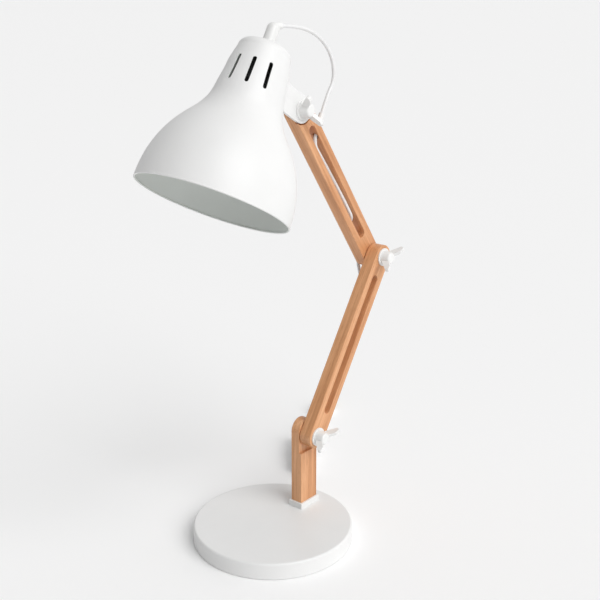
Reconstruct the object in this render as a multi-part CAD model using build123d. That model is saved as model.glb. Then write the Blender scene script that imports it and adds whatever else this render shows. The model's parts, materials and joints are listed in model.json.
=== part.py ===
from build123d import *
from math import atan, cos, degrees, pi, radians, sin, tan
import os

# Swing-arm desk lamp, millimetres. Z is up, the floor is Z = 0 and the origin is the centre of the
# base's underside. Every pivot pin lies along Y; the wing nuts are on the -Y side, and the shade
# reaches towards -X. The lower arm leans to +X and the upper arm leans back to -X.

# base
BASE_R = 90.0
BASE_TOP = 19.0
BASE_WALL = 1.6
BASE_EDGE = 2.5
COVER_LOW = 0.4
PAD_T = 2.0
PAD_R = 86.0
WEIGHT_R = 87.8

# post and its collar
POST_X = 55.7
POST_LX = 28.0
POST_LY = 15.0
SOCKET_WALL = 2.2
SOCKET_TOP = 26.0
SOCKET_FLOOR = 1.5
SHOULDER_Z = 88.5
POST_CROWN_Z = 112.5
NOTCH_Y = -4.0
SCREW_PITCH = 14.0

# arms: wooden bars with a long slot
ARM_W = 28.0
ARM_L = 222.4
SLOT_W = 10.0
LOWER_Y = (-20.0, -5.0)
UPPER_Y = (-4.0, 11.0)
LOWER_TILT = 33.1
UPPER_TILT = -35.5
PIVOT_Z = 109.5
LOWER_SLOT = (27.7, 198.6)
UPPER_SLOT = (31.8, 199.4)
SEAT_R = 15.7
HEAD_NOTCH_Y = 0.0

# bolts, washers and wing nuts
BOLT_D = 6.0
BOLT_HOLE = 6.12
SPACER_T = 0.96
WASHER_D = 21.0
WASHER_T = 1.5
REAR_WASHER_D = 18.0
REAR_WASHER_T = 1.2
BOLT_HEAD_D = 14.0
BOLT_HEAD_T = 3.6
NUT_H = 17.0
HUB_H = 10.5
NUT_BORE = 8.4
NUT_SPAN = 19.5
GAP = 0.05

# shade
SHADE_TILT = 29.8
SHADE_T = 1.0
RIM_FROM_HEAD = (-132.2, -77.2)
BELL = [
    (78.9, 0.0),
    (78.4, 12.0),
    (76.6, 25.0),
    (73.2, 38.0),
    (68.2, 51.0),
    (61.8, 63.0),
    (54.2, 74.0),
    (46.4, 84.0),
    (40.8, 93.0),
    (37.4, 101.0),
    (35.5, 110.0),
    (33.9, 120.0),
    (32.0, 132.0),
    (30.2, 144.0),
]
NECK_TOP_S = 165.0
NECK_TOP_R = 27.4
NECK_EDGE = 9.0
VENT_S = (114.5, 142.0)
VENT_W = 4.0
VENT_ANGLES = (-149.0, -118.0, 0.0, 31.0, 62.0)

# head bracket
BRACKET_T = 3.9
BRACKET_EYE_R = 14.0
FOOT_LEN = 34.0
FOOT_W = 20.0
FOOT_T = 2.5

# lead
LEAD_D = 4.0
GLAND_D = 12.8
GLAND_S = 183.5
HANK_FROM = 100.0
HANK_RUN = 72.5
HANK_BEND_R = 12.0
HANK_LAYERS = 5
HANK_PITCH = 4.05
TIE_T = 0.6
TIE_W = 9.0
SWITCH_SIZE = (52.0, 20.0, 14.0)
PLUG_SIZE = (36.0, 26.0, 14.0)
LEAD_R = LEAD_D / 2

PIVOT = Vector(POST_X, 0, PIVOT_Z)


def arm_frame(foot, tilt):
    """Unit vectors along and across an arm that leans by tilt degrees towards +X."""
    a = radians(tilt)
    along = Vector(sin(a), 0, cos(a))
    across = Vector(cos(a), 0, -sin(a))

    def point(t, v, y):
        p = foot + along * t + across * v
        return (p.X, y, p.Z)

    return point


lower_point = arm_frame(PIVOT, LOWER_TILT)
ELBOW = Vector(*lower_point(ARM_L, 0, 0))
upper_point = arm_frame(ELBOW, UPPER_TILT)
HEAD = Vector(*upper_point(ARM_L, 0, 0))
RIM = HEAD + Vector(RIM_FROM_HEAD[0], 0, RIM_FROM_HEAD[1])
shade_point = arm_frame(RIM, SHADE_TILT)
shade_lean = radians(SHADE_TILT)
BRACKET_S = (HEAD - RIM).dot(Vector(sin(shade_lean), 0, cos(shade_lean)))
HEAD_R = (HEAD - RIM).dot(Vector(cos(shade_lean), 0, -sin(shade_lean)))

os.makedirs("parts", exist_ok=True)
written = []


def save(shape, name):
    solids = shape.solids()
    body = solids[0] if len(solids) == 1 else Compound(children=list(solids))
    body.label = name
    export_step(body, f"parts/{name}.step")
    written.append((name, len(solids), body))


def y_cylinder(centre, radius, y0, y1):
    """Cylinder along Y between y0 and y1, centred on the X and Z of centre."""
    half = Cylinder(radius, abs(y1 - y0), rotation=(90, 0, 0))
    return Pos(centre.X, (y0 + y1) / 2, centre.Z) * half


def cylinder_between(start, end, radius):
    a = Vector(*start)
    b = Vector(*end)
    plane = Plane(origin=a, z_dir=(b - a).normalized())
    return extrude(plane * Circle(radius), (b - a).length)


def rounded_bar(y_range, length, foot, tilt):
    """Bar with both ends fully rounded about its two pivots."""
    width = y_range[1] - y_range[0]
    outline = Plane.XZ * Pos(0, length / 2) * SlotOverall(length + ARM_W, ARM_W, rotation=90)
    bar = extrude(outline, width, dir=(0, 1, 0))
    return Pos(foot.X, y_range[0], foot.Z) * Rot(0, tilt, 0) * bar


def slot_cut(y_range, ends, foot, tilt):
    """Through slot with rounded ends, measured along the arm from its foot."""
    length = ends[1] - ends[0]
    outline = Plane.XZ * Pos(0, (ends[0] + ends[1]) / 2) * SlotOverall(length, SLOT_W, rotation=90)
    cut = extrude(outline, y_range[1] - y_range[0] + 4, dir=(0, 1, 0))
    return Pos(foot.X, y_range[0] - 2, foot.Z) * Rot(0, tilt, 0) * cut


def lies_at(edge, y):
    return all(abs(vertex.Y - y) < 1e-4 for vertex in edge.vertices())


def soften(shape, radius, y_faces):
    """Round the long edges that lie in the two flat faces of a wooden piece."""
    edges = []
    for y in y_faces:
        edges += [e for e in shape.edges() if lies_at(e, y) and e.length > 20]
    return fillet(edges, radius)


# ---------------------------------------------------------------- base
cover = Pos(0, 0, (COVER_LOW + BASE_TOP) / 2) * Cylinder(BASE_R, BASE_TOP - COVER_LOW)
cover = fillet(cover.edges().group_by(Axis.Z)[-1], BASE_EDGE)
hollow_top = BASE_TOP - BASE_WALL
cover -= Pos(0, 0, hollow_top / 2) * Cylinder(BASE_R - BASE_WALL, hollow_top)
weight = Pos(0, 0, (PAD_T + hollow_top) / 2) * Cylinder(WEIGHT_R, hollow_top - PAD_T)
pad = Pos(0, 0, PAD_T / 2) * Cylinder(PAD_R, PAD_T)

screw_places = [Pos(POST_X + s * SCREW_PITCH / 2, 0, 0) for s in (-1, 1)]
for place in screw_places:
    cover -= place * Pos(0, 0, BASE_TOP) * Cylinder(2.3, 8)
    weight -= place * Pos(0, 0, 10) * Cylinder(2.4, 30)
    weight -= place * Pos(0, 0, PAD_T + 2) * Cylinder(4.6, 4.4)
save(cover, "base_cover")
save(weight, "base_weight")
save(pad, "base_pad")

# ---------------------------------------------------------------- post in its collar
socket_x = POST_LX + 2 * SOCKET_WALL
socket_y = POST_LY + 2 * SOCKET_WALL
socket = Pos(POST_X, 0, (BASE_TOP + SOCKET_TOP) / 2) * Box(socket_x, socket_y, SOCKET_TOP - BASE_TOP)
socket = fillet(socket.edges().filter_by(Axis.Z), 1.0)
socket = fillet(socket.faces().sort_by(Axis.Z)[-1].edges(), 0.6)
well_z = BASE_TOP + SOCKET_FLOOR
socket -= Pos(POST_X, 0, well_z + 5) * Box(POST_LX + 0.06, POST_LY + 0.06, 10)

post_side = Plane.XZ * (
    Pos(POST_X, (well_z + POST_CROWN_Z) / 2) * Rectangle(POST_LX, POST_CROWN_Z - well_z)
    + Pos(POST_X, POST_CROWN_Z) * Circle(POST_LX / 2)
)
post = Pos(0, -POST_LY / 2, 0) * extrude(post_side, POST_LY, dir=(0, 1, 0))
notch_h = 60.0
post -= Pos(POST_X, NOTCH_Y - 10, SHOULDER_Z + notch_h / 2) * Box(POST_LX + 4, 20, notch_h)
post = fillet([e for e in post.edges().filter_by(Axis.Z) if e.length > 50], 0.8)
post -= y_cylinder(PIVOT, BOLT_HOLE / 2, -12, 12)
for place in screw_places:
    socket -= place * Pos(0, 0, BASE_TOP) * Cylinder(2.3, 8)
    post -= place * Pos(0, 0, well_z + 12) * Cylinder(1.97, 26)
save(socket, "post_socket")
save(post, "post")

screws = []
for place in screw_places:
    head = Pos(0, 0, 4.8) * Cylinder(4.2, 2.6)
    shank = Pos(0, 0, 24.8) * Cylinder(1.95, 37.6)
    recess = Pos(0, 0, 3.9) * extrude(RegularPolygon(1.8, 6), 1.6)
    screws.append(place * (head + shank - recess))
save(Compound(children=screws), "base_screws")

# ---------------------------------------------------------------- arms
lower_arm = rounded_bar(LOWER_Y, ARM_L, PIVOT, LOWER_TILT)
lower_arm -= slot_cut(LOWER_Y, LOWER_SLOT, PIVOT, LOWER_TILT)
lower_arm = soften(lower_arm, 0.8, LOWER_Y)
for hinge in (PIVOT, ELBOW):
    lower_arm -= y_cylinder(hinge, BOLT_HOLE / 2, LOWER_Y[0] - 1, LOWER_Y[1] + 1)
save(lower_arm, "lower_arm")

upper_arm = rounded_bar(UPPER_Y, ARM_L, ELBOW, UPPER_TILT)
upper_arm -= slot_cut(UPPER_Y, UPPER_SLOT, ELBOW, UPPER_TILT)
upper_arm = soften(upper_arm, 0.8, UPPER_Y)
upper_arm -= y_cylinder(HEAD, SEAT_R, UPPER_Y[0] - 1, HEAD_NOTCH_Y)
for hinge in (HEAD, ELBOW):
    upper_arm -= y_cylinder(hinge, BOLT_HOLE / 2, UPPER_Y[0] - 1, UPPER_Y[1] + 1)

# the lead enters the upper arm through a slanting hole in its upper narrow face
BOOT_T = ARM_L - 36.0
HOLE_SLANT = 30.0
HOLE_Y = 1.5
HOLE_R = 3.6
hole_mouth = Vector(*upper_point(BOOT_T, ARM_W / 2, HOLE_Y))
slant = radians(UPPER_TILT + 90 - HOLE_SLANT)
HOLE_IN = Vector(-sin(slant), 0, -cos(slant))
hole_end = hole_mouth + HOLE_IN * (ARM_W / 2 / cos(radians(HOLE_SLANT)))
upper_arm -= cylinder_between(hole_mouth - HOLE_IN * 6, hole_end, HOLE_R)
save(upper_arm, "upper_arm")

# ---------------------------------------------------------------- pivot hardware


def washer(centre, diameter, y0, y1):
    ring = y_cylinder(centre, diameter / 2, y0, y1)
    return ring - y_cylinder(centre, BOLT_HOLE / 2, y0 - 1, y1 + 1)


def pivot_bolt(centre, y_tip, y_head):
    """Round-headed bolt whose head bears towards -Y at y_head and whose shank ends at y_tip."""
    shank = y_cylinder(centre, BOLT_D / 2, y_tip, y_head + 1)
    head = y_cylinder(centre, BOLT_HEAD_D / 2, y_head, y_head + BOLT_HEAD_T)
    head = fillet(head.edges().group_by(Axis.Y)[-1], 1.6)
    return shank + head


def wing_nut(centre, y_seat, angle):
    """Moulded wing nut: a tapered hub, closed outwards, and two wings that rise towards -Y."""
    hub = extrude(Plane.XZ * Circle(8.2), HUB_H, taper=9)
    hub = fillet(hub.edges().group_by(Axis.Y)[0], 2.4)
    corners = [
        (4.2, -1.2),
        (9.5, -3.2),
        (NUT_SPAN, -13.2),
        (NUT_SPAN - 1.2, -NUT_H),
        (12.5, 1.2 - NUT_H),
        (4.2, -8.8),
    ]
    side = make_face(Polyline(*corners, close=True))
    side = fillet([v for v in side.vertices() if v.X > 9.0], 2.0)
    blade = extrude(side, 2.1, both=True)
    nut = hub + blade + Rot(0, 180, 0) * blade
    nut -= extrude(Plane.XZ * Circle(BOLT_D / 2 + 0.03), NUT_BORE)
    return Pos(centre.X, y_seat, centre.Z) * Rot(0, -angle, 0) * nut


# each joint: (name, pivot, face the far washer lies on, near face of the front piece, nut angle)
joints = [
    ("lower", PIVOT, POST_LY / 2, LOWER_Y[0], 22.0),
    ("elbow", ELBOW, UPPER_Y[1], LOWER_Y[0], 32.0),
    ("head", HEAD, UPPER_Y[1], HEAD_NOTCH_Y - BRACKET_T - GAP, 127.0),
]
for name, centre, far_y, near_y, angle in joints:
    save(washer(centre, REAR_WASHER_D, far_y + 0.02, far_y + REAR_WASHER_T), f"{name}_rear_washer")
    save(washer(centre, WASHER_D, near_y - GAP - WASHER_T, near_y - GAP), f"{name}_front_washer")
    seat = near_y - WASHER_T - 2 * GAP
    save(pivot_bolt(centre, seat - NUT_BORE + 0.6, far_y + REAR_WASHER_T + 0.02), f"{name}_bolt")
    save(wing_nut(centre, seat, angle), f"{name}_wing_nut")

for name, centre in (("lower", PIVOT), ("elbow", ELBOW)):
    y_mid = (LOWER_Y[1] + NOTCH_Y) / 2
    save(washer(centre, 24.0, y_mid - SPACER_T / 2, y_mid + SPACER_T / 2), f"{name}_spacer")

# ---------------------------------------------------------------- shade
# drawn upright with the rim at Z = 0, then tilted about Y and moved to its rim point
place_shade = Pos(RIM.X, 0, RIM.Z) * Rot(0, SHADE_TILT, 0)

def bell_edges(points, edge, top_s, top_r):
    """Half outline from the rim, up the bell, round the shoulder of the neck and in to the axis."""
    corner_s = top_s - edge
    side = Spline(*points, tangents=[(0, 1), (top_r - points[-1][0], corner_s - points[-1][1])])
    wall = Line(points[-1], (top_r, corner_s))
    corner = CenterArc((top_r - edge, corner_s), edge, 0, 90)
    top = Line((top_r - edge, top_s), (0, top_s))
    return [side, wall, corner, top]


inner_bell = [(r - SHADE_T, s) for r, s in BELL]
outer_edges = bell_edges(BELL, NECK_EDGE, NECK_TOP_S, NECK_TOP_R)
inner_edges = bell_edges(inner_bell, NECK_EDGE - SHADE_T, NECK_TOP_S - SHADE_T, NECK_TOP_R - SHADE_T)
rim_edge = Line(BELL[0], inner_bell[0])
axis_edge = Line((0, NECK_TOP_S), (0, NECK_TOP_S - SHADE_T))
outline = make_face(outer_edges + inner_edges + [rim_edge, axis_edge])
shade = Rot(0, 0, 45) * revolve(Plane.XZ * outline, Axis.Z)
bead = Torus(BELL[0][0] - 0.7, 1.0)
shade += bead
vent_mid = (VENT_S[0] + VENT_S[1]) / 2
vent = extrude(Plane.YZ * SlotOverall(VENT_S[1] - VENT_S[0], VENT_W, rotation=90), 60)
for angle in VENT_ANGLES:
    shade -= Rot(0, 0, 180 + angle) * Pos(0, 0, vent_mid) * vent
shade -= Pos(0, 0, NECK_TOP_S) * Cylinder(5.05, 10)
NECK_R = 32.1
NECK_SLOPE = 0.154
SCREW_ANGLE = 9.5
BRACKET_SCREW_S = (BRACKET_S - 10, BRACKET_S + 10)


def screw_frame(s):
    """Point on the outside of the neck at height s, with Z square to the surface and outwards."""
    radius = NECK_R - NECK_SLOPE * (s - BRACKET_S)
    return Rot(0, 0, SCREW_ANGLE) * Pos(radius, 0, s) * Rot(0, 90 - degrees(atan(NECK_SLOPE)), 0)


for s in BRACKET_SCREW_S:
    shade -= screw_frame(s) * Cylinder(1.7, 12)
save(place_shade * shade, "shade")

# ---------------------------------------------------------------- bracket from the head pivot to the neck


def neck_cone(length, extra=0.0):
    """Cone that follows the outside of the neck around the height of the bracket."""
    half = NECK_SLOPE * length / 2
    return Pos(0, 0, BRACKET_S) * Cone(NECK_R + extra + half, NECK_R + extra - half, length)


plate_y = HEAD_NOTCH_Y - BRACKET_T / 2 - GAP
stem_mid = (NECK_R - 6 + HEAD_R) / 2
stem = Pos(stem_mid, plate_y, BRACKET_S) * Box(HEAD_R - NECK_R + 6, BRACKET_T, 2 * BRACKET_EYE_R)
eye = Pos(HEAD_R, plate_y, BRACKET_S) * Cylinder(BRACKET_EYE_R, BRACKET_T, rotation=(90, 0, 0))
foot = Pos(NECK_R, 0, BRACKET_S) * Box(12.0, FOOT_W, FOOT_LEN)
foot = fillet(foot.edges().filter_by(Axis.X), 4.0)
foot &= neck_cone(FOOT_LEN, FOOT_T)
bracket = stem + eye + foot
bracket -= neck_cone(80)
bracket -= Pos(HEAD_R, plate_y, BRACKET_S) * Cylinder(BOLT_HOLE / 2, 20, rotation=(90, 0, 0))
bracket_screws = []
bracket_nuts = []
for s in BRACKET_SCREW_S:
    frame = screw_frame(s)
    bracket -= frame * Cylinder(1.7, 12)
    screw_head = frame * Pos(0, 0, FOOT_T + 0.95) * Cylinder(3.0, 1.8)
    screw_head = fillet(screw_head.edges().sort_by(SortBy.DISTANCE)[-1], 0.8)
    screw_shank = frame * Pos(0, 0, (FOOT_T + 0.5 - 6.0) / 2) * Cylinder(1.5, FOOT_T + 6.5)
    bracket_screws.append(place_shade * (screw_head + screw_shank))
    nut = frame * Pos(0, 0, -SHADE_T - 0.45 - 2.4) * extrude(RegularPolygon(3.18, 6), 2.4)
    bracket_nuts.append(place_shade * (nut - frame * Cylinder(1.52, 20)))
save(place_shade * bracket, "shade_bracket")
save(Compound(children=bracket_screws), "bracket_screws")
save(Compound(children=bracket_nuts), "bracket_nuts")

# ---------------------------------------------------------------- lamp holder inside the neck
HOLDER_TOP = NECK_TOP_S - SHADE_T - 0.05
HOLDER_LEN = 50.0
holder_low = HOLDER_TOP - HOLDER_LEN
holder = Pos(0, 0, HOLDER_TOP - HOLDER_LEN / 2) * Cylinder(17.0, HOLDER_LEN)
holder = fillet(holder.edges().group_by(Axis.Z)[-1], 6.0)
holder -= Pos(0, 0, holder_low + 15) * Cylinder(14.2, 30)
holder -= Pos(0, 0, HOLDER_TOP) * Cylinder(5.05, 14)
collar = Pos(0, 0, holder_low + 12) * (Cylinder(19.0, 5.0) - Cylinder(17.05, 8.0))
shell = Pos(0, 0, holder_low + 14.5) * (Cylinder(14.1, 22) - Cylinder(13.5, 24))
contact = Pos(0, 0, holder_low + 29.2) * Cylinder(4.5, 1.5)
contact += Pos(0, 0, holder_low + 27.6) * Cylinder(2.2, 2.0)
save(place_shade * holder, "lamp_holder")
save(place_shade * collar, "holder_ring")
save(place_shade * shell, "holder_shell")
save(place_shade * contact, "holder_contact")

# ---------------------------------------------------------------- lead entry on the shade
BORE_R = LEAD_R + 0.02
gland_dome = Vector(*shade_point(GLAND_S, 0, 0))
spout_start = Vector(gland_dome.X, 0, gland_dome.Z + 2.6)
spout_end = spout_start + Vector(11, 0, 0)
gland = Pos(0, 0, (NECK_TOP_S + GLAND_S) / 2 + 0.02) * Cylinder(GLAND_D / 2, GLAND_S - NECK_TOP_S - 0.04)
gland += Pos(0, 0, NECK_TOP_S - 2) * Cylinder(5.0, 8)
gland = place_shade * gland
gland += Pos(gland_dome.X, 0, gland_dome.Z) * Sphere(GLAND_D / 2)
gland += cylinder_between(spout_start, spout_end, 3.7)
gland -= cylinder_between(spout_start + Vector(4, 0, 0), spout_end + Vector(2, 0, 0), BORE_R)
save(gland, "lead_gland")

# flexible boot where the lead goes into the upper arm
BOOT_OUT = 15.0
BOOT_IN = 5.0
boot = cylinder_between(hole_mouth - HOLE_IN * 4.0, hole_mouth + HOLE_IN * BOOT_IN, HOLE_R - 0.04)
boot += cylinder_between(hole_mouth - HOLE_IN * 4.8, hole_mouth - HOLE_IN * 3.0, 4.8)
boot_plane = Plane(origin=hole_mouth - HOLE_IN * 4.0, z_dir=-HOLE_IN)
boot += extrude(boot_plane * Circle(3.5), BOOT_OUT - 4.0, taper=3)
boot -= cylinder_between(hole_mouth - HOLE_IN * (BOOT_OUT + 2), hole_mouth + HOLE_IN * (BOOT_IN + 2), BORE_R)
save(boot, "lead_boot")

# ---------------------------------------------------------------- the lead
lead_lengths = {}


def lead(name, points):
    """Round lead along straight runs joined by arcs; each arc's radius follows the shorter run."""
    points = [Vector(*p) for p in points]
    radii = []
    for before, here, after in zip(points, points[1:], points[2:]):
        into = here - before
        out = after - here
        bend = radians(into.get_angle(out))
        radii.append(0.45 * min(into.length, out.length) / tan(bend / 2))
    runs = [(b - a).length for a, b in zip(points, points[1:])]
    path = FilletPolyline(*points, radius=radii) if radii else Polyline(*points)
    tube = sweep(Plane(origin=path @ 0, z_dir=path % 0) * Circle(LEAD_R), path=path)
    lead_lengths[name] = path.length
    ratio = tube.volume / (pi * LEAD_R**2 * path.length)
    print(name, "runs", [round(r) for r in runs], "radii", [round(r, 1) for r in radii])
    print("   length", round(path.length, 1), "volume over section times length", round(ratio, 4))
    save(tube, name)


def between(a, b, share):
    return Vector(*a) + (Vector(*b) - Vector(*a)) * share


# over the head: from the gland, round to the boot on the upper arm
HEAD_JOIN = hole_mouth + HOLE_IN * 4.6
lead(
    "head_lead",
    [
        spout_start + Vector(4, 0, 0),
        spout_start + Vector(37, 0, 0),
        (81, 0.4, 549.5),
        (103, 0.9, 528.5),
        (108, 1.2, 503.0),
        hole_mouth - HOLE_IN * 34.0,
        HEAD_JOIN,
    ],
)

# down the upper arm's slot and out at its back
turned = radians(UPPER_TILT + 60 - HOLE_SLANT)
HALFWAY = Vector(-sin(turned), 0, -cos(turned))
bend_in = hole_mouth + HOLE_IN * 13.0
upper_out = upper_point(62, 0, -0.4)
upper_back = upper_point(38, 0, 20)
UPPER_JOIN = between(upper_out, upper_back, 0.5)
lead(
    "upper_lead",
    [
        HEAD_JOIN,
        bend_in,
        bend_in + HALFWAY * 9.0,
        upper_point(142, 1.6, 3.4),
        upper_point(112, 2.2, 2.6),
        upper_point(84, 1.6, 1.0),
        upper_out,
        UPPER_JOIN,
    ],
)

# behind the elbow, past the bolt head, to the back of the lower arm's slot
lower_in = lower_point(176, -0.8, -14.2)
elbow_low = (173.5, 13.0, 276.0)
LOWER_JOIN = between(elbow_low, lower_in, 0.55)
lead(
    "elbow_lead",
    [
        UPPER_JOIN,
        upper_back,
        (185.0, 24.5, 303.0),
        elbow_low,
        LOWER_JOIN,
    ],
)

# down the lower arm's slot
lower_out = lower_point(55, 0.6, -14.0)
lower_back = lower_point(32, 0, 4.0)
TAIL_JOIN = between(lower_out, lower_back, 0.5)
lead(
    "lower_lead",
    [
        LOWER_JOIN,
        lower_in,
        lower_point(148, 0.4, -11.6),
        lower_point(116, 0.6, -10.8),
        lower_point(84, -0.6, -11.6),
        lower_out,
        TAIL_JOIN,
    ],
)

# floor strip straight behind the post: ALONG leads away from it, ASIDE is square to that
ALONG = Vector(0.774, 0.634, 0).normalized()
ASIDE = Vector(-ALONG.Y, ALONG.X, 0)


def strip(k, side, z):
    return Vector(POST_X, 0, z) + ALONG * k + ASIDE * side


def strip_plane(origin, heading):
    """Plane square to the strip at origin, turned by heading degrees towards ASIDE."""
    a = radians(heading)
    return Plane(origin=origin, x_dir=(0, 0, 1), z_dir=ALONG * cos(a) + ASIDE * sin(a))


def end_edges(shape, direction):
    faces = shape.faces().sort_by(Axis((0, 0, 0), direction))
    return faces[0].edges() + faces[-1].edges()


# the rest of the lead is wound into flat oval turns, one on the other, with a band round them
HANK_LEN = HANK_RUN + 2 * HANK_BEND_R + LEAD_D
HANK_W = 2 * HANK_BEND_R + LEAD_D
HANK_H = (HANK_LAYERS - 1) * HANK_PITCH + LEAD_D
HANK_MID = HANK_FROM + HANK_LEN / 2
HANK_TOP_Z = TIE_T + HANK_H - LEAD_R
HANK_LOW_Z = TIE_T + LEAD_R
lead(
    "tail_lead",
    [
        TAIL_JOIN,
        lower_back,
        (80.5, 12.0, 102.0),
        (86.0, 21.5, 64.0),
        strip(58, 1, 35),
        strip(80, -1, HANK_TOP_Z + 1.5),
        strip(HANK_FROM, -2.5, HANK_TOP_Z),
    ],
)

hank_plane = Plane(origin=strip(HANK_MID, 0, TIE_T), x_dir=ALONG, z_dir=(0, 0, 1))
hank = extrude(hank_plane * SlotOverall(HANK_LEN, HANK_W), HANK_H)
save(hank, "lead_hank")
tie_plane = strip_plane(strip(HANK_MID - TIE_W / 2, 0, HANK_H / 2 + TIE_T), 0)
tie = extrude(tie_plane * Rectangle(HANK_H + 2 * TIE_T, HANK_W + 2 * TIE_T), TIE_W)
tie = fillet(tie.edges().filter_by(lambda edge: abs(edge.length - TIE_W) < 0.01), 1.0)
tie -= extrude(tie_plane * Rectangle(HANK_H + 0.04, HANK_W + 0.04), TIE_W)
save(tie, "hank_tie")

# in-line switch and plug, lying on the floor beyond the hank
FAR_TURN = -15.0
far_dir = ALONG * cos(radians(FAR_TURN)) + ASIDE * sin(radians(FAR_TURN))
switch_len, switch_w, switch_h = SWITCH_SIZE
HANK_TO = HANK_FROM + HANK_LEN
switch_start = strip(HANK_TO + 17, -5.5, switch_h / 2)
SPLIT_Z = 7.0
switch_plane = strip_plane(switch_start, FAR_TURN)
switch = extrude(switch_plane * RectangleRounded(switch_h, switch_w, 4.0), switch_len)
switch = fillet(end_edges(switch, far_dir), 2.5)
for bore_from, bore_to in ((-1, 6), (switch_len - 6, switch_len + 1)):
    switch -= cylinder_between(switch_start + far_dir * bore_from, switch_start + far_dir * bore_to, BORE_R)

rocker_at = switch_start + far_dir * (switch_len / 2) + Vector(0, 0, switch_h / 2 - 2.2)
rocker_frame = Plane(origin=rocker_at, x_dir=far_dir, z_dir=(0, 0, 1))
ROCKER_L = 17.0
ROCKER_W = 9.0
ROCKER_TIP = 7.0
switch -= rocker_frame * Box(ROCKER_L + 3.4, ROCKER_W + 0.6, 8.0)
switch_low = switch & (Pos(0, 0, SPLIT_Z / 2) * Box(1000, 1000, SPLIT_Z))
switch_high = switch & (Pos(0, 0, SPLIT_Z + 20) * Box(1000, 1000, 40))
save(switch_low, "switch_base")
save(switch_high, "switch_cover")

rocker_corners = [(-8.5, -1.6), (8.5, -1.6), (8.5, 3.6), (0, 2.2), (-8.5, 3.6)]
rocker_side = make_face(Polyline(*rocker_corners, close=True))
rocker = extrude(Plane.XZ * rocker_side, ROCKER_W / 2, both=True)
rocker = Rot(0, ROCKER_TIP, 0) * rocker
save(rocker_frame * rocker, "switch_rocker")
print("rocker hinge", [round(v, 3) for v in rocker_at], "axis", [round(v, 4) for v in rocker_frame.y_dir])

plug_len, plug_w, plug_h = PLUG_SIZE
plug_start = switch_start + far_dir * (switch_len + 15)
plug_plane = strip_plane(plug_start, FAR_TURN)
plug = extrude(plug_plane * Ellipse(plug_h / 2 - 2, plug_w / 2 - 6), 8, taper=-8)
grip_plane = strip_plane(plug_start + far_dir * 6, FAR_TURN)
plug += extrude(grip_plane * RectangleRounded(plug_h, plug_w, 5.5), plug_len - 6)
plug -= cylinder_between(plug_start - far_dir, plug_start + far_dir * 7, BORE_R)
PIN_PITCH = 18.6
PIN_R = 2.0
PIN_OUT = 19.0
far_side = Vector(-far_dir.Y, far_dir.X, 0)
pins = []
for side in (-1, 1):
    root = plug_start + far_dir * (plug_len - 8) + far_side * (side * PIN_PITCH / 2)
    tip = root + far_dir * (8 + PIN_OUT)
    plug -= cylinder_between(root, tip, PIN_R + 0.02)
    pin = cylinder_between(root, tip, PIN_R)
    pins.append(fillet(pin.edges().sort_by(Axis((0, 0, 0), far_dir))[-1], 1.2))
save(plug, "plug_body")
save(Compound(children=pins), "plug_pins")

lead(
    "switch_lead",
    [
        strip(HANK_TO, -4.5, HANK_LOW_Z),
        strip(HANK_TO + 5, -4.5, HANK_LOW_Z + 0.6),
        switch_start - far_dir * 4.0,
        switch_start + far_dir * 5.9,
    ],
)
lead(
    "plug_lead",
    [
        switch_start + far_dir * (switch_len - 5.9),
        plug_start + far_dir * 6.9,
    ],
)

# ---------------------------------------------------------------- summary
print("pivots", [[round(v, 2) for v in p] for p in (PIVOT, ELBOW, HEAD)], "rim", [round(v, 2) for v in RIM])
print("lead outside the hank", round(sum(lead_lengths.values())))
for name, count, body in written:
    box = body.bounding_box()
    print(name, count, round(body.volume), [round(v, 1) for v in (*box.min, *box.max)])
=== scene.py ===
import json
import math

import bpy
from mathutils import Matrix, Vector


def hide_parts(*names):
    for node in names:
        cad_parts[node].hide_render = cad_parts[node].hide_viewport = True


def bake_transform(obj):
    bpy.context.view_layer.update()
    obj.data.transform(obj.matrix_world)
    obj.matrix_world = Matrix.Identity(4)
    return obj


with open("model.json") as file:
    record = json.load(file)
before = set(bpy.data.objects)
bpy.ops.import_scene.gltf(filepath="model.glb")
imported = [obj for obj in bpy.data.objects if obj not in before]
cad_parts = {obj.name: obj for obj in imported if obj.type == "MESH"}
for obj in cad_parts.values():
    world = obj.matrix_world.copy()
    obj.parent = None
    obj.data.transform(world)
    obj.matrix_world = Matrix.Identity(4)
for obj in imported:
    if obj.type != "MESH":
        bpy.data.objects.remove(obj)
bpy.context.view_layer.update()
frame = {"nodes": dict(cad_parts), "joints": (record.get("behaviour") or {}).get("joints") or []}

# ---------------------------------------------------------------- camera
CAMERA_AT = Vector((-0.7554, -0.6645, 0.6014))
CAMERA_PITCH = math.radians(17.613)
CAMERA_HEADING = math.radians(50.418)
CAMERA_LENS = 59.86
SENSOR = 36.0


def make_camera():
    data = bpy.data.cameras.new("camera")
    data.lens = CAMERA_LENS
    data.sensor_width = SENSOR
    data.clip_start = 0.01
    data.clip_end = 200
    camera = bpy.data.objects.new("camera", data)
    bpy.context.collection.objects.link(camera)
    camera.location = CAMERA_AT
    camera.rotation_euler = (math.pi / 2 - CAMERA_PITCH, 0, -CAMERA_HEADING)
    bpy.context.scene.camera = camera


make_camera()

# ---------------------------------------------------------------- points of the lead's route
pivots = {joint["name"]: Vector(joint["pos_m"]) for joint in frame["joints"]}
PIVOT = pivots["lower_pivot"]
ELBOW = pivots["elbow"]
HEAD = pivots["head_tilt"]

ARM_LENGTH = (ELBOW - PIVOT).length
ARM_WIDTH = 0.028
LOWER_TILT = math.atan2(ELBOW.x - PIVOT.x, ELBOW.z - PIVOT.z)
UPPER_TILT = math.atan2(HEAD.x - ELBOW.x, HEAD.z - ELBOW.z)
SHADE_TILT = math.radians(29.8)
RIM_FROM_HEAD = Vector((-0.1322, 0, -0.0772))
RIM = HEAD + RIM_FROM_HEAD
GLAND_S = 0.1835
LEAD_D = 0.004


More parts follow.
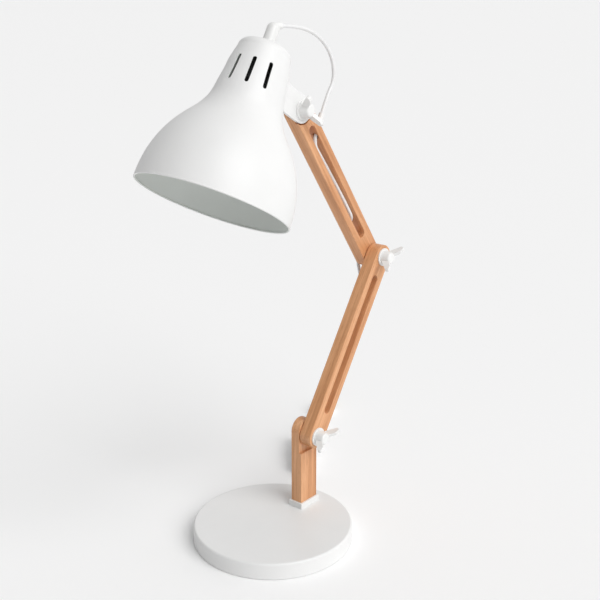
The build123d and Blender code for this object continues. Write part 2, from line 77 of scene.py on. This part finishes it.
def leaning(foot, tilt):
    """Point at t along and v across a line that leans by tilt towards +X, at depth y."""
    along = Vector((math.sin(tilt), 0, math.cos(tilt)))
    across = Vector((math.cos(tilt), 0, -math.sin(tilt)))

    def point(t, v, y):
        place = foot + along * t + across * v
        return Vector((place.x, y, place.z))

    return point


lower_point = leaning(PIVOT, LOWER_TILT)
upper_point = leaning(ELBOW, UPPER_TILT)
shade_point = leaning(RIM, SHADE_TILT)

# the slanting hole near the head end of the upper arm, where the loop goes in
BOOT_FROM_HEAD = 0.036
HOLE_SLANT = math.radians(30)
HOLE_Y = 0.0015
JOIN_DEPTH = 0.0046
SPOUT_RISE = 0.0026
slant = UPPER_TILT + math.pi / 2 - HOLE_SLANT
hole_in = Vector((-math.sin(slant), 0, -math.cos(slant)))
hole_mouth = upper_point(ARM_LENGTH - BOOT_FROM_HEAD, ARM_WIDTH / 2, HOLE_Y)
head_join = hole_mouth + hole_in * JOIN_DEPTH
spout_start = shade_point(GLAND_S, 0, 0) + Vector((0, 0, SPOUT_RISE))

upper_out = upper_point(0.062, 0, -0.0004)
upper_back = upper_point(0.038, 0, 0.020)
upper_join = upper_out.lerp(upper_back, 0.5)
lower_in = lower_point(0.176, -0.0008, -0.0142)
elbow_low = Vector((0.1735, 0.013, 0.276))
lower_join = elbow_low.lerp(lower_in, 0.55)
lower_out = lower_point(0.055, 0.0006, -0.014)
lower_back = lower_point(0.032, 0, 0.004)
tail_join = lower_out.lerp(lower_back, 0.5)

# floor strip behind the post: strip_along leads away from it, strip_aside is square to that
strip_along = Vector((0.774, 0.634, 0)).normalized()
strip_aside = Vector((-strip_along.y, strip_along.x, 0))


def strip(k, side, z):
    return Vector((PIVOT.x, 0, z)) + strip_along * k + strip_aside * side


# the hank of oval turns, and the switch and plug beyond it
HANK_FROM = 0.100
HANK_RUN = 0.0725
HANK_BEND = 0.012
HANK_TURNS = 4
HANK_PITCH = 0.00405
TIE = 0.0006
hank_low = TIE + LEAD_D / 2
hank_top = hank_low + HANK_TURNS * HANK_PITCH
hank_near = HANK_FROM + LEAD_D / 2 + HANK_BEND
hank_far = hank_near + HANK_RUN
hank_to = hank_far + HANK_BEND + LEAD_D / 2

FAR_TURN = math.radians(-15)
SWITCH_LENGTH = 0.052
SWITCH_GAP = 0.017
SWITCH_SIDE = -0.0055
SWITCH_MID_Z = 0.007
PLUG_GAP = 0.015
far_dir = strip_along * math.cos(FAR_TURN) + strip_aside * math.sin(FAR_TURN)
switch_start = strip(hank_to + SWITCH_GAP, SWITCH_SIDE, SWITCH_MID_Z)
plug_start = switch_start + far_dir * (SWITCH_LENGTH + PLUG_GAP)


def hank_points():
    """Oval turns that lie one on the other, wound from the top down."""
    half_turn = [math.radians(30 * i) for i in range(7)]
    points = []
    for turn in range(HANK_TURNS):
        z = hank_top - turn * HANK_PITCH
        for angle in half_turn:
            out = HANK_BEND * math.sin(angle)
            side = HANK_BEND * math.cos(angle)
            points.append(strip(hank_far + out, -side, z))
        for angle in half_turn:
            out = HANK_BEND * math.sin(angle)
            side = HANK_BEND * math.cos(angle)
            points.append(strip(hank_near - out, side, z - HANK_PITCH))
    return points


# ---------------------------------------------------------------- the lead
head_route = [
    spout_start + Vector((0.004, 0, 0)),
    spout_start + Vector((0.037, 0, 0)),
    Vector((0.081, 0.0004, 0.5495)),
    Vector((0.103, 0.0009, 0.5285)),
    Vector((0.108, 0.0012, 0.503)),
    hole_mouth - hole_in * 0.034,
    head_join,
]
elbow_route = [
    upper_join,
    upper_back,
    Vector((0.185, 0.0245, 0.303)),
    elbow_low,
    lower_join,
]
tail_route = [
    tail_join,
    lower_back,
    Vector((0.0805, 0.012, 0.102)),
    Vector((0.086, 0.0215, 0.064)),
    strip(0.058, 0.001, 0.035),
    strip(0.080, -0.001, hank_top + 0.0015),
    strip(HANK_FROM, -0.0025, hank_top),
    *hank_points(),
    strip(hank_to, -0.0045, hank_low),
    strip(hank_to + 0.005, -0.0045, hank_low + 0.0006),
    switch_start - far_dir * 0.004,
    switch_start + far_dir * 0.0059,
    switch_start + far_dir * (SWITCH_LENGTH - 0.0059),
    plug_start + far_dir * 0.0069,
]


def lead_tube(name, points):
    """Round tube along a smooth spline through the route. Returns it with the line that it follows."""
    curve = bpy.data.curves.new(name, "CURVE")
    curve.dimensions = "3D"
    curve.resolution_u = 10
    spline = curve.splines.new("NURBS")
    spline.points.add(len(points) - 1)
    for control, place in zip(spline.points, points):
        control.co = (*place, 1)
    spline.order_u = 3
    spline.use_endpoint_u = True
    route = bpy.data.objects.new(name + "_route", curve)
    bpy.context.collection.objects.link(route)
    bpy.context.view_layer.update()
    line = [vertex.co.copy() for vertex in bpy.data.meshes.new_from_object(route).vertices]
    curve.bevel_depth = LEAD_D / 2
    curve.bevel_resolution = 5
    curve.use_fill_caps = True
    bpy.context.view_layer.update()
    mesh = bpy.data.meshes.new_from_object(route)
    mesh.name = name
    bpy.data.objects.remove(route)
    mesh.shade_smooth()
    tube = bpy.data.objects.new(name, mesh)
    bpy.context.collection.objects.link(tube)
    return tube, line


def free_lead(name, points, nodes):
    """One free stretch of the lead, drawn as a curved tube that stands in for the listed CAD nodes,
    which are hidden.
    """
    tube, line = lead_tube(name, points)
    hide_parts(*nodes)
    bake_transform(tube)
    return tube


leads = [
    free_lead(
        "head_loop",
        head_route,
        ["head_lead"],
    ),
    free_lead(
        "elbow_loop",
        elbow_route,
        ["elbow_lead"],
    ),
    free_lead(
        "mains_lead",
        tail_route,
        ["tail_lead", "lead_hank", "switch_lead", "plug_lead"],
    ),
]

# ---------------------------------------------------------------- materials


def blank(name, colour, roughness, metallic=0.0):
    """New material with constant values on its shader, returned with its nodes, links and shader."""
    material = bpy.data.materials.new(name)
    material.use_nodes = True
    nodes = material.node_tree.nodes
    shader = nodes["Principled BSDF"]
    shader.inputs["Base Color"].default_value = (*colour, 1)
    shader.inputs["Roughness"].default_value = roughness
    shader.inputs["Metallic"].default_value = metallic
    return material, nodes, material.node_tree.links, shader


def place_texture(nodes, links, scale, turn=0.0):
    """Object coordinates, turned about Y and stretched."""
    coordinates = nodes.new("ShaderNodeTexCoord")
    turned = nodes.new("ShaderNodeMapping")
    turned.inputs["Rotation"].default_value = (0, turn, 0)
    links.new(coordinates.outputs["Object"], turned.inputs["Vector"])
    stretched = nodes.new("ShaderNodeMapping")
    stretched.inputs["Scale"].default_value = scale
    links.new(turned.outputs["Vector"], stretched.inputs["Vector"])
    return stretched.outputs["Vector"]


def noise(nodes, links, vector, scale=1.0, detail=4.0, rough=0.5, distortion=0.0):
    texture = nodes.new("ShaderNodeTexNoise")
    texture.inputs["Scale"].default_value = scale
    texture.inputs["Detail"].default_value = detail
    texture.inputs["Roughness"].default_value = rough
    texture.inputs["Distortion"].default_value = distortion
    links.new(vector, texture.inputs["Vector"])
    return texture.outputs["Fac"]


def ramp(nodes, links, factor, stops):
    """Colours along a factor; each stop is (place, colour)."""
    node = nodes.new("ShaderNodeValToRGB")
    while len(node.color_ramp.elements) < len(stops):
        node.color_ramp.elements.new(0.5)
    for element, (place, colour) in zip(node.color_ramp.elements, stops):
        element.position = place
        element.color = (*colour, 1)
    links.new(factor, node.inputs["Fac"])
    return node.outputs["Color"]


def grey(value):
    return (value, value, value)


def multiply(nodes, links, first, second, share):
    node = nodes.new("ShaderNodeMix")
    node.data_type = "RGBA"
    node.blend_type = "MULTIPLY"
    node.inputs["Factor"].default_value = share
    links.new(first, node.inputs["A"])
    links.new(second, node.inputs["B"])
    return node.outputs["Result"]


def bump(nodes, links, shader, height, strength, distance):
    node = nodes.new("ShaderNodeBump")
    node.inputs["Strength"].default_value = strength
    node.inputs["Distance"].default_value = distance
    links.new(height, node.inputs["Height"])
    links.new(node.outputs["Normal"], shader.inputs["Normal"])


def enamel(name, colour, roughness):
    """Powder-coated metal: a faint orange-peel surface and slightly uneven gloss."""
    material, nodes, links, shader = blank(name, colour, roughness)
    vector = place_texture(nodes, links, (1, 1, 1))
    peel = noise(nodes, links, vector, scale=700, detail=2)
    cloud = noise(nodes, links, vector, scale=25, detail=3)
    low = grey(roughness - 0.05)
    high = grey(roughness + 0.06)
    links.new(ramp(nodes, links, cloud, [(0.3, low), (0.7, high)]), shader.inputs["Roughness"])
    dusky = tuple(0.97 * part for part in colour)
    links.new(ramp(nodes, links, cloud, [(0.25, dusky), (0.75, colour)]), shader.inputs["Base Color"])
    bump(nodes, links, shader, peel, 0.12, 0.0002)
    return material


def wood(name, lean):
    """Oiled beech with its grain along a bar that leans by lean towards +X."""
    material, nodes, links, shader = blank(name, (0.7, 0.39, 0.21), 0.42)
    bands = place_texture(nodes, links, (70, 55, 4.5), -lean)
    streaks = place_texture(nodes, links, (420, 420, 14), -lean)
    pores = place_texture(nodes, links, (1500, 1500, 90), -lean)
    band = noise(nodes, links, bands, detail=3, distortion=0.6)
    streak = noise(nodes, links, streaks, detail=5, rough=0.6)
    pore = noise(nodes, links, pores, detail=2)
    base = ramp(
        nodes,
        links,
        band,
        [(0.28, (0.54, 0.235, 0.095)), (0.5, (0.69, 0.345, 0.165)), (0.74, (0.82, 0.455, 0.24))],
    )
    streak_tint = ramp(nodes, links, streak, [(0.3, (0.74, 0.66, 0.58)), (0.6, grey(1.0))])
    pore_tint = ramp(nodes, links, pore, [(0.30, (0.66, 0.52, 0.42)), (0.42, grey(1.0))])
    colour = multiply(nodes, links, base, streak_tint, 0.75)
    colour = multiply(nodes, links, colour, pore_tint, 0.6)
    links.new(colour, shader.inputs["Base Color"])
    gloss = ramp(nodes, links, streak, [(0.3, grey(0.5)), (0.7, grey(0.38))])
    links.new(gloss, shader.inputs["Roughness"])
    bump(nodes, links, shader, pore, 0.18, 0.00015)
    return material


def moulded(name, colour, roughness, grain=900):
    """Moulded plastic: fine spark texture, slightly uneven gloss and a little depth."""
    material, nodes, links, shader = blank(name, colour, roughness)
    shader.inputs["Subsurface Weight"].default_value = 0.04
    shader.inputs["Subsurface Radius"].default_value = (0.002, 0.002, 0.002)
    vector = place_texture(nodes, links, (1, 1, 1))
    fine = noise(nodes, links, vector, scale=grain, detail=3)
    cloud = noise(nodes, links, vector, scale=60, detail=2)
    low = grey(roughness - 0.06)
    high = grey(roughness + 0.08)
    links.new(ramp(nodes, links, cloud, [(0.3, low), (0.7, high)]), shader.inputs["Roughness"])
    dusky = tuple(0.95 * part for part in colour)
    links.new(ramp(nodes, links, cloud, [(0.3, dusky), (0.7, colour)]), shader.inputs["Base Color"])
    bump(nodes, links, shader, fine, 0.08, 0.0001)
    return material


def metal(name, colour, roughness, scratches):
    """Bare metal with fine marks stretched by the three scale values of scratches."""
    material, nodes, links, shader = blank(name, colour, roughness, 1.0)
    vector = place_texture(nodes, links, scratches)
    marks = noise(nodes, links, vector, detail=5, rough=0.6)
    low = grey(roughness - 0.08)
    high = grey(roughness + 0.12)
    links.new(ramp(nodes, links, marks, [(0.3, low), (0.7, high)]), shader.inputs["Roughness"])
    dusky = tuple(0.82 * part for part in colour)
    links.new(ramp(nodes, links, marks, [(0.3, dusky), (0.7, colour)]), shader.inputs["Base Color"])
    bump(nodes, links, shader, marks, 0.1, 0.0001)
    return material


white_enamel = enamel("white_enamel", (0.80, 0.80, 0.795), 0.45)
# Painted shade: a darker, greener copy of the white enamel, for the faces inside the shade
inner_painted_shade = enamel("inner_painted_shade", (0.72, 0.745, 0.72), 0.55)
white_plastic = moulded("white_plastic", (0.82, 0.82, 0.81), 0.36)
lead_plastic = moulded("lead_plastic", (0.80, 0.80, 0.80), 0.4, 1500)
pad_foam = moulded("pad_foam", (0.02, 0.02, 0.02), 0.8, 500)
zinc = metal("zinc", (0.62, 0.63, 0.64), 0.34, (900, 900, 900))
brass = metal("brass", (0.80, 0.60, 0.28), 0.3, (1200, 1200, 200))
iron = metal("cast_iron", (0.10, 0.10, 0.10), 0.6, (400, 400, 400))
dark_plastic = moulded("dark_plastic", (0.012, 0.012, 0.012), 0.6)

node_materials = {
    "post": wood("post_wood", 0.0),
    "lower_arm": wood("lower_arm_wood", LOWER_TILT),
    "upper_arm": wood("upper_arm_wood", UPPER_TILT),
    "base_cover": white_enamel,
    "shade": white_enamel,
    "shade_bracket": white_enamel,
    "base_weight": iron,
    "base_pad": pad_foam,
    "base_screws": zinc,
    "bracket_screws": zinc,
    "bracket_nuts": zinc,
    "lamp_holder": dark_plastic,
    "holder_ring": dark_plastic,
    "holder_shell": brass,
    "holder_contact": brass,
    "plug_pins": brass,
}
for part in ("lower", "elbow", "head"):
    node_materials[part + "_bolt"] = zinc
    node_materials[part + "_rear_washer"] = zinc
for part in ("upper_lead", "lower_lead"):
    node_materials[part] = lead_plastic


CORNER_ANGLE = math.radians(32)
NECK_TOP_FROM = 0.15


def paint(piece, material):
    piece.data.materials.clear()
    piece.data.materials.append(material)


def smooth(piece):
    """Smooth shading that keeps real corners sharp."""
    piece.data.shade_smooth()
    piece.data.set_sharp_from_angle(angle=CORNER_ANGLE)


for name, node in frame["nodes"].items():
    paint(node, node_materials.get(name, white_plastic))
    smooth(node)
for tube in leads:
    paint(tube, lead_plastic)


def darken_shade_inside(shade):
    """The faces that look towards the shade's axis get a darker, greener copy of the white enamel:
    painted shade for the inside of the shade.
    """
    shade.data.materials.append(inner_painted_shade)
    axis = (shade_point(GLAND_S, 0, 0) - RIM).normalized()
    for face in shade.data.polygons:
        from_rim = face.center - RIM
        outwards = from_rim - axis * from_rim.dot(axis)
        inside_top = from_rim.dot(axis) > NECK_TOP_FROM and face.normal.dot(axis) < -0.3
        if face.normal.dot(outwards) < 0 or inside_top:
            face.material_index = 1


darken_shade_inside(frame["nodes"]["shade"])

# ---------------------------------------------------------------- floor and light
SKY_DARK = 0.2
SKY_BRIGHT = 0.84
KEY_TOWARDS = (0.1, 0.75, -0.65)
KEY_STRENGTH = 2.05
KEY_SPREAD = math.radians(50)
FLOOR_HALF = 60.0
FLOOR_DROP = 0.0002


def make_floor():
    """Plain pale floor, just under the lamp so that the two don't share a plane."""
    mesh = bpy.data.meshes.new("floor")
    sides = [(-1, -1), (1, -1), (1, 1), (-1, 1)]
    corners = [(x * FLOOR_HALF, y * FLOOR_HALF, 0) for x, y in sides]
    mesh.from_pydata(corners, [], [(0, 1, 2, 3)])
    floor = bpy.data.objects.new("floor", mesh)
    bpy.context.collection.objects.link(floor)
    floor.location = (0, 0, -FLOOR_DROP)
    material = blank("floor_paper", (0.95, 0.95, 0.95), 0.9)[0]
    floor.data.materials.append(material)


def soft_sun(name, towards, strength, spread):
    """Wide, soft light that falls along towards and lights the floor evenly everywhere."""
    data = bpy.data.lights.new(name, "SUN")
    data.energy = strength
    data.angle = spread
    light = bpy.data.objects.new(name, data)
    bpy.context.collection.objects.link(light)
    light.rotation_euler = Vector(towards).to_track_quat("-Z", "Y").to_euler()


def make_sky():
    """Even studio surround, darker towards -X so that round shapes turn grey on that side."""
    world = bpy.data.worlds.new("studio")
    world.use_nodes = True
    nodes = world.node_tree.nodes
    links = world.node_tree.links
    direction = nodes.new("ShaderNodeTexCoord")
    parts = nodes.new("ShaderNodeSeparateXYZ")
    links.new(direction.outputs["Generated"], parts.inputs["Vector"])
    across = nodes.new("ShaderNodeMapRange")
    across.inputs["From Min"].default_value = -1.0
    across.inputs["From Max"].default_value = 1.0
    links.new(parts.outputs["X"], across.inputs["Value"])
    stops = [(0.0, grey(SKY_DARK)), (1.0, grey(SKY_BRIGHT))]
    colour = ramp(nodes, links, across.outputs["Result"], stops)
    links.new(colour, nodes["Background"].inputs["Color"])
    bpy.context.scene.world = world


make_floor()
make_sky()
soft_sun("key", KEY_TOWARDS, KEY_STRENGTH, KEY_SPREAD)
bpy.context.scene.view_settings.view_transform = "Standard"
